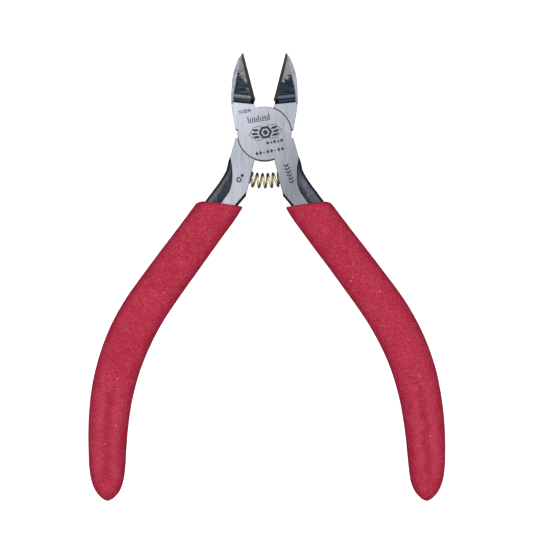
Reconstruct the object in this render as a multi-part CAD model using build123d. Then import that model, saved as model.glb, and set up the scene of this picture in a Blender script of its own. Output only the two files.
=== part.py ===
from build123d import *
import math
import os

# ---------------------------------------------------------------------------
# Lap-jointed hand nippers with spring return, lying on their back.
# Row frame: origin on the pivot axis in the plane of the rear face,
# +Y towards the cutting tips, +Z out of the front face. Millimetres.
# Modelled in the relaxed position, with the return spring holding it open.
# ---------------------------------------------------------------------------

# head and lap joint
HEAD_THICKNESS = 6.4          # ground front face to ground rear face
LAP_PLANE = HEAD_THICKNESS / 2
LAP_GAP = 0.04                # running gap between the two lap discs
DISC_RADIUS = 6.60            # lap disc of each half
RECESS_RADIUS = 6.68          # round recess of the other half around it
OPEN_HALF_ANGLE = 14.4        # each half from closed to relaxed, degrees

# pivot rivet
RIVET_RADIUS = 2.30
RIVET_BORE_RADIUS = 2.33      # running fit in the rear half
RIVET_CAULK_RADIUS = 2.75     # swaged end, ground flush with the front face
RIVET_CAULK_DEPTH = 0.7
RIVET_HEAD_RADIUS = 3.70      # countersunk head, ground flush with the rear face
RIVET_HEAD_DEPTH = 1.30
RIVET_HEAD_CLEARANCE = 0.04

# cutting jaws
EDGE_ROOT_RADIUS = 8.87       # distance of the cutting edge's root from the pivot
EDGE_TIP_RADIUS = 20.87       # distance of the cutting tip from the pivot
EDGE_GAP = 0.02               # each edge stays this far short of the centre plane
JAW_STEP = (-5.07, 7.35)      # middle of the step between ground face and hollow
JAW_STEP_TILT = 5.0           # the step line falls towards the edge, degrees
HOLLOW_RADIUS = 2.4           # root fillet of the hollow-ground face
HOLLOW_SLOPE = 11.0           # fall of the hollow-ground face towards the tip
HOLLOW_ROLL = 13.0            # fall of the hollow-ground face towards the edge
BACK_RELIEF_START = 8.4       # rear face rises from here towards the tip
BACK_RELIEF_SLOPE = 5.0
BEVEL_WIDTH_ROOT = 0.90       # plan width of the edge bevel
BEVEL_WIDTH_TIP = 0.74
SPINE_CHAMFER = 0.60          # chamfer along the outside of each blade
TIP_FACET = [(-7.52, 15.60), (-5.32, 20.10)]   # chord of the ground facet behind the tip
TIP_FACET_WIDTH = 0.55        # plan width of that facet inside its chord
TIP_FACET_TILT = 42.0         # its fall towards the outside, degrees
EDGE_BREAK = 0.12             # broken edges of the ground faces

# tang
TANG_THICKNESS = 4.6
TANG_ROUND = 1.3

# return spring
WIRE_RADIUS = 0.27
COIL_MEAN_RADIUS = 1.68
SPRING_ARC_CENTRE = 4.03      # Y of the centre about which the spring bows
SPRING_ARC_RADIUS = 15.42
SEAT_ANGLE = 13.45            # tilt of each handle's inner face
SEAT_RADIUS = 2.12
SEAT_DEPTH = 1.35
ACTIVE_TURNS = 6.6
SPRING_PIECES = 16             # lengths that the coil surface is divided into
END_TURNS = 0.5               # closed turns in each seat
PEG_RADIUS = 1.20
PEG_PRESS_DEPTH = 1.5

# grips
GRIP_HALF_THICKNESS = 4.2
GRIP_MID_PLANE = LAP_PLANE
GRIP_POWER = 2.5              # section exponent, 2 is an ellipse

# Outline of the left-hand jaw from the cutting tip down its outside (x, y).
JAW_OUTSIDE = [(-5.55, 19.95), (-6.10, 19.18), (-6.53, 18.45), (-6.83, 17.71),
               (-7.11, 16.98), (-7.37, 16.24), (-7.77, 14.77), (-7.97, 13.30),
               (-8.09, 11.83), (-8.16, 10.36), (-8.17, 8.89), (-8.12, 7.42),
               (-7.98, 5.95), (-7.74, 4.48), (-7.46, 3.01), (-7.14, 1.18)]
# Shoulder of the jaw beside the joint, then into the lap disc.
JAW_INNER = [(-6.50, 0.86), (-4.0, 0.4), (0.0, 2.0), (-1.2, 5.0),
             (-2.02, 6.24), (-2.43, 7.06), (-2.62, 8.06)]

# Ground plate of the right-hand handle.
PLATE_OUTSIDE_STRAIGHT = [(3.5, -0.6), (6.50, -1.00), (7.15, -1.10)]
PLATE_OUTSIDE_UPPER = [(7.15, -1.10), (7.41, -2.13), (7.83, -3.60), (8.20, -5.07), (8.33, -5.78)]
PLATE_OUTSIDE_CURVE = [(8.33, -5.78), (8.03, -7.35), (7.84, -9.06), (7.84, -10.78),
                       (8.04, -12.37), (8.52, -13.96), (9.44, -15.40), (10.58, -16.95),
                       (12.25, -19.26)]
PLATE_END = [(8.70, -19.26)]
PLATE_INSIDE = [(7.01, -17.20), (4.36, -14.14), (2.43, -6.12), (1.6, -2.6)]

# Tang of the right-hand handle: outside and inside of the bare part.
TANG_OUTSIDE = [(7.90, -4.70), (8.82, -6.54), (9.08, -7.65), (9.32, -8.75), (9.65, -9.48),
                (10.07, -10.22), (10.99, -11.69), (12.07, -13.16), (13.18, -14.63),
                (14.80, -16.83)]
TANG_INSIDE = [(6.10, -16.95), (4.51, -15.12), (4.44, -14.40)]
TANG_WALL = 1.75              # grip wall over the tang's edges

# Grip centre lines from above the mouth to the end (x, y, half width), and
# the mouth as a line (x, y) to (x, y).
LEFT_GRIP = [(-8.68, -14.03, 4.86), (-11.12, -17.80, 5.02), (-13.81, -21.41, 5.07),
             (-16.46, -25.05, 5.13), (-19.12, -28.69, 5.18), (-21.80, -32.31, 5.23),
             (-24.46, -35.93, 5.28), (-27.08, -39.59, 5.35), (-29.58, -43.32, 5.42),
             (-31.80, -47.25, 5.47), (-33.70, -51.33, 5.46), (-35.28, -55.57, 5.39),
             (-36.53, -59.88, 5.29), (-37.43, -64.30, 5.17), (-38.02, -68.76, 5.02),
             (-38.36, -73.25, 4.86), (-38.48, -77.75, 4.66), (-38.50, -82.26, 4.38),
             (-38.44, -84.60, 4.02), (-38.40, -86.40, 3.46), (-38.39, -87.80, 2.70),
             (-38.39, -88.80, 1.80), (-38.39, -89.45, 0.98), (-38.39, -89.75, 0.35)]
LEFT_MOUTH = [(-16.80, -16.20), (-5.25, -17.70)]
RIGHT_GRIP = [(8.43, -14.07, 4.80), (10.91, -17.85, 4.98), (13.61, -21.48, 5.03),
              (16.33, -25.09, 5.09), (19.06, -28.70, 5.13), (21.78, -32.33, 5.18),
              (24.51, -35.94, 5.24), (27.18, -39.58, 5.29), (29.74, -43.29, 5.34),
              (32.06, -47.20, 5.39), (34.08, -51.25, 5.40), (35.78, -55.46, 5.35),
              (37.14, -59.78, 5.29), (38.15, -64.20, 5.18), (38.87, -68.66, 5.07),
              (39.35, -73.17, 4.90), (39.62, -77.69, 4.72), (39.76, -82.21, 4.41),
              (39.72, -84.60, 4.04), (39.70, -86.40, 3.46), (39.72, -87.80, 2.68),
              (39.75, -88.80, 1.78), (39.78, -89.45, 0.98), (39.80, -89.75, 0.35)]
RIGHT_MOUTH = [(5.22, -17.80), (15.85, -16.35)]

os.makedirs("parts", exist_ok=True)
H = HEAD_THICKNESS
Z = Vector(0, 0, 1)


def polar(radius, angle):
    """Point at this angle from +Y, positive towards +X."""
    a = math.radians(angle)
    return (radius * math.sin(a), radius * math.cos(a))


def plan(v):
    return (v.X, v.Y)


def face_of(*parts):
    """Closed face from pieces: a list of points is straight runs, and a
    list marked 'curve' is one spline."""
    edges, last, first = [], None, None
    for kind, pts in parts:
        pts = list(pts)
        if last is not None and (abs(last[0] - pts[0][0]) > 1e-9 or abs(last[1] - pts[0][1]) > 1e-9):
            edges.append(Line(last, pts[0]))
        if kind == "curve":
            edges.append(Spline(*pts))
        else:
            for a, b in zip(pts, pts[1:]):
                edges.append(Line(a, b))
        first = first or pts[0]
        last = pts[-1]
    if last != first:
        edges.append(Line(last, first))
    return make_face(edges)


def slab(face, z0, z1):
    return Pos(0, 0, z0) * extrude(face, z1 - z0)


def cylinder(radius, z0, z1, x=0.0, y=0.0):
    return Pos(x, y, (z0 + z1) / 2) * Cylinder(radius, z1 - z0)


def cone(r0, z0, r1, z1):
    return Pos(0, 0, (z0 + z1) / 2) * Cone(r0, r1, z1 - z0)


def break_faces(piece, wanted):
    """Break the outline edges of a piece's two ground faces where wanted(x, y)
    holds for an edge's middle, one edge at a time."""
    def flat_edges(shape):
        found = []
        for e in shape.edges():
            if e.length < 0.05:
                continue
            zs = [e.position_at(k).Z for k in (0.0, 0.5, 1.0)]
            m = e.position_at(0.5)
            if (max(abs(z) for z in zs) < 1e-4 or max(abs(z - H) for z in zs) < 1e-4) and wanted(m.X, m.Y):
                found.append(e)
        return found

    try:
        done = chamfer(flat_edges(piece), EDGE_BREAK)
        if done.is_valid:
            return done
    except Exception:
        pass
    targets = [e.position_at(0.5) for e in flat_edges(piece) if e.length > 0.3]
    broken = 0
    for target in targets:
        near = [e for e in flat_edges(piece) if (e.position_at(0.5) - target).length < 0.4]
        if not near:
            continue
        near.sort(key=lambda e: (e.position_at(0.5) - target).length)
        try:
            done = chamfer([near[0]], EDGE_BREAK)
            if done.is_valid and abs(done.volume - piece.volume) < 3:
                piece, broken = done, broken + 1
        except Exception:
            print("edge left sharp at", target)
    print("edges broken", broken, "of", len(targets))
    return piece


# --- left-hand jaw, full thickness -----------------------------------------
edge_tip = polar(EDGE_TIP_RADIUS, -OPEN_HALF_ANGLE)
edge_root = polar(EDGE_ROOT_RADIUS, -OPEN_HALF_ANGLE)
back = math.radians(OPEN_HALF_ANGLE)
shift = (-EDGE_GAP * math.cos(back), -EDGE_GAP * math.sin(back))
edge_tip = (edge_tip[0] + shift[0], edge_tip[1] + shift[1])
edge_root = (edge_root[0] + shift[0], edge_root[1] + shift[1])

jaw_face = face_of(
    ("curve", [edge_tip] + JAW_OUTSIDE),
    ("line", [JAW_OUTSIDE[-1]] + JAW_INNER + [edge_root]),
)
jaw = slab(jaw_face, 0, H)

# rear face of the blade rises towards the tip
rise = math.tan(math.radians(BACK_RELIEF_SLOPE))
relief = Polyline((0, BACK_RELIEF_START, 0), (0, 30, (30 - BACK_RELIEF_START) * rise),
                  (0, 30, -3), (0, BACK_RELIEF_START, -3), close=True)
jaw -= Pos(-20, 0, 0) * extrude(make_face(relief), 40, dir=(1, 0, 0))

# hollow-ground front face: a profile drawn along the step line
tilt = math.radians(JAW_STEP_TILT)
roll = math.radians(HOLLOW_ROLL)
slope = math.radians(HOLLOW_SLOPE)
along = Vector(math.cos(tilt) * math.cos(roll), -math.sin(tilt) * math.cos(roll), -math.sin(roll))
up_jaw = Vector(math.sin(tilt), math.cos(tilt), 0)
r = HOLLOW_RADIUS
phi = math.pi / 2 - slope
base = Vector(JAW_STEP[0], JAW_STEP[1], 0)


def hollow_point(y, z):
    return base + up_jaw * y + Z * z


zc = H
mid = phi / 2
p_top = hollow_point(0, H + 4)
p0 = hollow_point(0, zc)
p1 = hollow_point(r - r * math.cos(mid), zc - r * math.sin(mid))
p2 = hollow_point(r - r * math.cos(phi), zc - r * math.sin(phi))
run = 16.0
sag = 0.16
flat_end = (r - r * math.cos(phi) + run, zc - r * math.sin(phi) - run * math.tan(slope))
p3 = hollow_point(r - r * math.cos(phi) + run / 2, zc - r * math.sin(phi) - run / 2 * math.tan(slope) - sag)
p4 = hollow_point(*flat_end)
p5 = hollow_point(flat_end[0], H + 4)
hollow_face = make_face([Line(p_top, p0), ThreePointArc(p0, p1, p2), ThreePointArc(p2, p3, p4),
                         Line(p4, p5), Line(p5, p_top)])
hollow = extrude(hollow_face, 14, dir=along) + extrude(hollow_face, 14, dir=-along)
jaw -= hollow


def hollow_z(x, y):
    """Height of the hollow-ground face over a plan point."""
    d = Vector(x, y, 0) - base
    ex = d.dot(Vector(math.cos(tilt), -math.sin(tilt), 0))
    ey = d.dot(up_jaw)
    drop = ex * math.tan(roll)
    if ey <= r - r * math.cos(phi):
        return zc - math.sqrt(max(r * r - (r - ey) ** 2, 0)) - drop
    return zc - r * math.sin(phi) - (ey - r + r * math.cos(phi)) * math.tan(slope) - drop


# edge bevel: from the cutting edge on the rear face up to a line set back from it
e_dir = Vector(edge_tip[0] - edge_root[0], edge_tip[1] - edge_root[1], 0).normalized()
e_in = Vector(-e_dir.Y, e_dir.X, 0)
if e_in.X > 0:
    e_in = -e_in


def bevel_section(s, width):
    """Cutting section across the edge at distance s from its root."""
    p = Vector(edge_root[0], edge_root[1], 0) + e_dir * s
    z_edge = max((p.Y - BACK_RELIEF_START) * rise, 0.0) + 0.03
    q = p + e_in * width
    z_top = hollow_z(q.X, q.Y)
    k = width / (z_top - z_edge)
    low = p + Z * z_edge
    high = p + e_in * (k * (9.0 - z_edge)) + Z * 9.0
    skim = p + e_in * (k * (-1.0 - z_edge)) - Z * 1.0
    return Wire.make_polygon([skim, high, p - e_in * 6 + Z * 9.0, p - e_in * 6 - Z * 1.0], close=True)


length = EDGE_TIP_RADIUS - EDGE_ROOT_RADIUS
bevel = Solid.make_loft([bevel_section(0.55, BEVEL_WIDTH_ROOT), bevel_section(length + 0.3, BEVEL_WIDTH_TIP)], ruled=True)
jaw -= bevel


# ground facet behind the tip, wider than the chamfer that it runs into
f0, f1 = Vector(*TIP_FACET[0]), Vector(*TIP_FACET[1])
f_dir = (f1 - f0).normalized()
f_out = Vector(-f_dir.Y, f_dir.X, 0)
if f_out.X > 0:
    f_out = -f_out
f_mid = (f0 + f1) * 0.5 - f_out * TIP_FACET_WIDTH
f_origin = Vector(f_mid.X, f_mid.Y, hollow_z(f_mid.X, f_mid.Y))
ft = math.radians(TIP_FACET_TILT)
facet_plane = Plane(origin=f_origin, x_dir=f_dir, z_dir=f_out * math.sin(ft) + Z * math.cos(ft))


def outer_edges(shape):
    """Edges where the hollow-ground face meets the outside of the blade."""
    found = []
    for e in shape.edges():
        m = e.position_at(0.5)
        if m.Y > 7.4 and 0.8 < m.Z < H - 0.02 and e.length > 2.0:
            hz = hollow_z(m.X, m.Y)
            if abs(m.Z - hz) < 0.35 and m.X < -7.2:
                found.append(e)
    return found


spine = outer_edges(jaw)
print("spine edges", [(round(e.length, 2), e.position_at(0.5)) for e in spine])
try:
    jaw_c = chamfer(spine, SPINE_CHAMFER)
    if jaw_c.is_valid:
        jaw = jaw_c
        print("spine chamfer ok")
except Exception as e:
    print("spine chamfer failed", e)
jaw -= facet_plane * (Pos(0, 0, 5) * Box(16, 12, 10))
jaw = break_faces(jaw, lambda x, y: x < -6.4 and y < 8.0)

# --- right-hand handle ------------------------------------------------------
plate_face = face_of(
    ("line", PLATE_OUTSIDE_STRAIGHT),
    ("curve", PLATE_OUTSIDE_UPPER),
    ("curve", PLATE_OUTSIDE_CURVE),
    ("line", [PLATE_OUTSIDE_CURVE[-1]] + PLATE_END + PLATE_INSIDE),
)
plate = slab(plate_face, 0, H)
plate = break_faces(plate, lambda x, y: y < -1.0 and not x < 3.0)


def stations(grip):
    """Centre points, tangents and half widths of a grip."""
    pts = [Vector(x, y, 0) for x, y, w in grip]
    out = []
    for i, p in enumerate(pts):
        a, b = pts[max(i - 1, 0)], pts[min(i + 1, len(pts) - 1)]
        out.append((p, (b - a).normalized(), grip[i][2]))
    return out


def tang_for(grip, sign):
    """Tang that fills the handle below the bare part; sign is +1 on the right."""
    st = stations(grip)
    keep = [s for s in st if s[0].Y > -85][2::3]
    outs, ins = [], []
    for n, (p, t, w) in enumerate(keep):
        side = Vector(-t.Y, t.X, 0)
        if side.X * sign < 0:
            side = -side
        half = w - TANG_WALL - 0.12 * n
        outs.append(plan(p + side * half))
        ins.append(plan(p - side * half))
    out_bare = [(x * sign, y) for x, y in TANG_OUTSIDE]
    in_bare = [(x * sign, y) for x, y in TANG_INSIDE]
    end = keep[-1][0] + keep[-1][1] * 2.6
    face = face_of(
        ("curve", out_bare + outs[0:]),
        ("line", [outs[-1], plan(end + Vector(1.4 * sign, 0, 0)),
                  plan(end - Vector(1.4 * sign, 0, 0)), ins[-1]]),
        ("curve", ins[::-1] + [in_bare[0]]),
        ("line", in_bare + [((in_bare[-1][0] + 1.5 * sign), in_bare[-1][1] + 1.0)]),
    )
    z0 = LAP_PLANE - TANG_THICKNESS / 2
    body = slab(face, z0, z0 + TANG_THICKNESS)
    rounds = [e for e in body.edges()
              if abs(abs(e.position_at(0.5).Z - LAP_PLANE) - TANG_THICKNESS / 2) < 1e-6 and e.length > 6]
    try:
        rounded = fillet(rounds, TANG_ROUND)
        if rounded.is_valid and rounded.volume > 0.8 * body.volume:
            print("tang rounded", sign)
            return rounded
    except Exception as e:
        print("tang rounding failed", sign, e)
    return body


tang_right = tang_for(RIGHT_GRIP, +1)
tang_left = tang_for(LEFT_GRIP, -1)

plate_left = plate.mirror(Plane.YZ)
jaw_right = jaw.mirror(Plane.YZ)

# --- the two halves ---------------------------------------------------------
big = 30.0
rear_lap = cylinder(RECESS_RADIUS, -1, LAP_PLANE + LAP_GAP / 2)
front_lap = cylinder(RECESS_RADIUS, LAP_PLANE - LAP_GAP / 2, H + 1)

front_disc = cylinder(DISC_RADIUS, LAP_PLANE + LAP_GAP / 2, H)
front_disc = chamfer(front_disc.edges().group_by(Axis.Z)[-1], EDGE_BREAK)
rear_disc = cylinder(DISC_RADIUS, 0, LAP_PLANE - LAP_GAP / 2)
rear_disc = chamfer(rear_disc.edges().group_by(Axis.Z)[0], EDGE_BREAK)
rear_lap += cone(RECESS_RADIUS + 1 + EDGE_BREAK, -1, RECESS_RADIUS, EDGE_BREAK)
front_lap += cone(RECESS_RADIUS, H - EDGE_BREAK, RECESS_RADIUS + 1 + EDGE_BREAK, H + 1)
front = (jaw + plate + tang_right) - rear_lap + front_disc
rear = (jaw_right + plate_left + tang_left) - front_lap + rear_disc

# rivet: countersunk head at the rear, swaged end at the front
rivet = cylinder(RIVET_RADIUS, 0, H)
rivet += cone(RIVET_HEAD_RADIUS, 0, RIVET_RADIUS, RIVET_HEAD_DEPTH)
rivet += cone(RIVET_RADIUS, H - RIVET_CAULK_DEPTH, RIVET_CAULK_RADIUS, H)
front -= rivet
rear -= cylinder(RIVET_BORE_RADIUS, -1, H)
rear -= cone(RIVET_HEAD_RADIUS + RIVET_HEAD_CLEARANCE, 0, RIVET_BORE_RADIUS, RIVET_HEAD_DEPTH + 0.01)


# --- spring seats, pegs and spring -------------------------------------------
def seat_plane(sign, depth):
    """Plane across a seat's axis, at this depth behind the handle's face;
    its normal points out of the seat."""
    a = math.radians(SEAT_ANGLE)
    p = Vector(sign * SPRING_ARC_RADIUS * math.sin(a), SPRING_ARC_CENTRE - SPRING_ARC_RADIUS * math.cos(a), LAP_PLANE)
    n = Vector(-sign * math.cos(a), -math.sin(a), 0)
    return Plane(origin=p - n * depth, z_dir=n)


def post(plane, radius, height):
    return plane * (Pos(0, 0, height / 2) * Cylinder(radius, height))


seat_right = post(seat_plane(+1, SEAT_DEPTH), SEAT_RADIUS, SEAT_DEPTH + 3)
seat_left = post(seat_plane(-1, SEAT_DEPTH), SEAT_RADIUS, SEAT_DEPTH + 3)
peg_height = PEG_PRESS_DEPTH + SEAT_DEPTH + 0.35
peg_right = post(seat_plane(+1, SEAT_DEPTH + PEG_PRESS_DEPTH), PEG_RADIUS, peg_height)
peg_left = post(seat_plane(-1, SEAT_DEPTH + PEG_PRESS_DEPTH), PEG_RADIUS, peg_height)
front = front - seat_right - peg_right
rear = rear - seat_left - peg_left
peg_right = chamfer(peg_right.edges().filter_by(GeomType.CIRCLE).sort_by_distance(seat_plane(+1, -5).origin)[0:1], 0.25)
peg_left = chamfer(peg_left.edges().filter_by(GeomType.CIRCLE).sort_by_distance(seat_plane(-1, -5).origin)[0:1], 0.25)


def spring_solid():
    """Round wire coiled about an arc that meets both seats squarely."""
    a = math.radians(SEAT_ANGLE)
    half = SPRING_ARC_RADIUS * a + SEAT_DEPTH - WIRE_RADIUS - 0.02
    turns = ACTIVE_TURNS + 2 * END_TURNS
    closed_pitch = 2 * WIRE_RADIUS + 0.06
    closed = END_TURNS * closed_pitch

    def along_axis(t):
        """Distance from the middle at turn t, eased between closed and open turns."""
        if t < END_TURNS:
            return -half + t * closed_pitch
        if t > turns - END_TURNS:
            return half - (turns - t) * closed_pitch
        u = (t - END_TURNS) / ACTIVE_TURNS
        span = 2 * (half - closed)
        m = closed_pitch * ACTIVE_TURNS / span
        h = (1 - m) / (1 - 0.12)
        e = 0.12
        if u < e:
            v = m * u + h * u * u / (2 * e)
        elif u > 1 - e:
            w = 1 - u
            v = 1 - (m * w + h * w * w / (2 * e))
        else:
            v = m * u + h * (u - e / 2)
        return -half + closed + span * v

    pts = []
    n = int(turns * 14)
    for k in range(n + 1):
        t = turns * k / n
        s = along_axis(t)
        th = max(-a, min(a, s / SPRING_ARC_RADIUS))
        extra = s - th * SPRING_ARC_RADIUS
        centre = Vector(SPRING_ARC_RADIUS * math.sin(th) + extra * math.cos(th),
                        SPRING_ARC_CENTRE - SPRING_ARC_RADIUS * math.cos(th) + extra * math.sin(th), LAP_PLANE)
        radial = Vector(-math.sin(th), math.cos(th), 0)
        w = 2 * math.pi * t + math.pi * 1.149
        pts.append(centre + radial * (COIL_MEAN_RADIUS * math.cos(w)) + Z * (COIL_MEAN_RADIUS * math.sin(w)))
    path = Spline(*pts)
    start = Plane(origin=path @ 0, z_dir=path % 0)
    lengths = Wire([path.trim(k / SPRING_PIECES, (k + 1) / SPRING_PIECES) for k in range(SPRING_PIECES)])
    coil = sweep(start * Circle(WIRE_RADIUS), path=lengths, is_frenet=True)
    print("spring volume", coil.volume, "expected", math.pi * WIRE_RADIUS ** 2 * path.length, coil.is_valid)
    return coil


spring = spring_solid()


# --- grips -------------------------------------------------------------------
def grip_section(p, t, half_width, half_thick):
    side = Vector(-t.Y, t.X, 0)
    pts = []
    n = 20
    for k in range(n):
        w = 2 * math.pi * k / n
        c, s = math.cos(w), math.sin(w)
        x = half_width * math.copysign(abs(c) ** (2 / GRIP_POWER), c)
        z = half_thick * math.copysign(abs(s) ** (2 / GRIP_POWER), s)
        pts.append(p + side * x + Z * (GRIP_MID_PLANE + z))
    return Wire([Spline(*pts, periodic=True)])


def grip_solid(grip, mouth, tang, plate_piece):
    wires = []
    st = stations(grip)
    # one more section above the mouth
    p, t, w = st[0]
    st.insert(0, (p - t * 2.0, t, w))
    widest = 4.6
    for p, t, w in st:
        thick = GRIP_HALF_THICKNESS
        if w < widest:
            thick = GRIP_HALF_THICKNESS * (0.30 + 0.70 * math.sin(math.pi / 2 * min(w / widest, 1)))
        wires.append(grip_section(p, t, w, thick))
    body = Solid.make_loft(wires, ruled=True)
    a, b = Vector(*mouth[0]), Vector(*mouth[1])
    d = (b - a).normalized()
    up = Vector(-d.Y, d.X, 0)
    if up.Y < 0:
        up = -up
    far_a, far_b = a - d * 20, b + d * 20
    cut = make_face(Polyline(far_a, far_b, far_b + up * 40, far_a + up * 40, close=True))
    body = body - (Pos(0, 0, -20) * extrude(cut, 40))
    body = body - tang - plate_piece
    if len(body.solids()) > 1:
        body = body.solids().sort_by(SortBy.VOLUME)[-1]
    return body


right_grip = grip_solid(RIGHT_GRIP, RIGHT_MOUTH, tang_right, plate)
left_grip = grip_solid(LEFT_GRIP, LEFT_MOUTH, tang_left, plate_left)


parts = {
    "front_jaw_and_handle": front,
    "rear_jaw_and_handle": rear,
    "pivot_rivet": rivet,
    "return_spring": spring,
    "front_spring_peg": peg_right,
    "rear_spring_peg": peg_left,
    "right_grip": right_grip,
    "left_grip": left_grip,
}
for name, shape in parts.items():
    print(name, "valid", shape.is_valid, "solids", len(shape.solids()), "volume", round(shape.volume, 1))
    export_step(shape, f"parts/{name}.step")
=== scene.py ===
import math

import bpy
import bmesh
from mathutils import Matrix, Vector, noise


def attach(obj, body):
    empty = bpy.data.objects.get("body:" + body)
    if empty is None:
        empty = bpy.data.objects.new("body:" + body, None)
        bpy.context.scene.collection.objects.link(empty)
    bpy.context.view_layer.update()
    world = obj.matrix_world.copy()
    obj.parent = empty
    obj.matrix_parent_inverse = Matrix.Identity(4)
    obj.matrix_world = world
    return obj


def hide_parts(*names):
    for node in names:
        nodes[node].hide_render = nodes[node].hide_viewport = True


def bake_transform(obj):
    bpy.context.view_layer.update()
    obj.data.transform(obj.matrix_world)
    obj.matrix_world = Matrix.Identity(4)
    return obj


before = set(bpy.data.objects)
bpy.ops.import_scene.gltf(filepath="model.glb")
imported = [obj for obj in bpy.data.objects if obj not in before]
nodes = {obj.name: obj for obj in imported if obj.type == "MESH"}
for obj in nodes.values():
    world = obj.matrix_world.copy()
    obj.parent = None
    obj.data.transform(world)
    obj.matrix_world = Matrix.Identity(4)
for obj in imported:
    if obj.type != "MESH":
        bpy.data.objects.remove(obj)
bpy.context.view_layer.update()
MM = 0.001

# ---------------------------------------------------------------------------
# Shape data, in millimetres, in the row frame
# ---------------------------------------------------------------------------
HEAD = 6.4
MID = 3.2
TANG_LOW, TANG_HIGH = 0.9, 5.5
GRIP_HALF_THICKNESS = 4.2
GRIP_POWER = 2.5

LEFT_GRIP = [(-8.68, -14.03, 4.86), (-11.12, -17.80, 5.02), (-13.81, -21.41, 5.07),
             (-16.46, -25.05, 5.13), (-19.12, -28.69, 5.18), (-21.80, -32.31, 5.23),
             (-24.46, -35.93, 5.28), (-27.08, -39.59, 5.35), (-29.58, -43.32, 5.42),
             (-31.80, -47.25, 5.47), (-33.70, -51.33, 5.46), (-35.28, -55.57, 5.39),
             (-36.53, -59.88, 5.29), (-37.43, -64.30, 5.17), (-38.02, -68.76, 5.02),
             (-38.36, -73.25, 4.86), (-38.48, -77.75, 4.66), (-38.50, -82.26, 4.38),
             (-38.44, -84.60, 4.02), (-38.40, -86.40, 3.46), (-38.39, -87.80, 2.70),
             (-38.39, -88.80, 1.80), (-38.39, -89.45, 0.98), (-38.39, -89.75, 0.35)]
LEFT_MOUTH = [(-16.80, -16.20), (-5.25, -17.70)]
RIGHT_GRIP = [(8.43, -14.07, 4.80), (10.91, -17.85, 4.98), (13.61, -21.48, 5.03),
              (16.33, -25.09, 5.09), (19.06, -28.70, 5.13), (21.78, -32.33, 5.18),
              (24.51, -35.94, 5.24), (27.18, -39.58, 5.29), (29.74, -43.29, 5.34),
              (32.06, -47.20, 5.39), (34.08, -51.25, 5.40), (35.78, -55.46, 5.35),
              (37.14, -59.78, 5.29), (38.15, -64.20, 5.18), (38.87, -68.66, 5.07),
              (39.35, -73.17, 4.90), (39.62, -77.69, 4.72), (39.76, -82.21, 4.41),
              (39.72, -84.60, 4.04), (39.70, -86.40, 3.46), (39.72, -87.80, 2.68),
              (39.75, -88.80, 1.78), (39.78, -89.45, 0.98), (39.80, -89.75, 0.35)]
RIGHT_MOUTH = [(15.85, -16.35), (5.22, -17.80)]

# outline of the ground plate on each handle (x away from the middle, y)
PLATE_OUT = [(6.50, -1.00), (7.15, -1.10), (7.41, -2.13), (7.83, -3.60), (8.20, -5.07), (8.33, -5.78),
             (8.03, -7.35), (7.84, -9.06), (7.84, -10.78), (8.04, -12.37), (8.52, -13.96),
             (9.44, -15.40), (10.58, -16.95), (12.25, -19.26)]
PLATE_IN = [(1.6, -2.6), (2.43, -6.12), (4.36, -14.14), (7.01, -17.20), (8.70, -19.26)]


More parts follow.
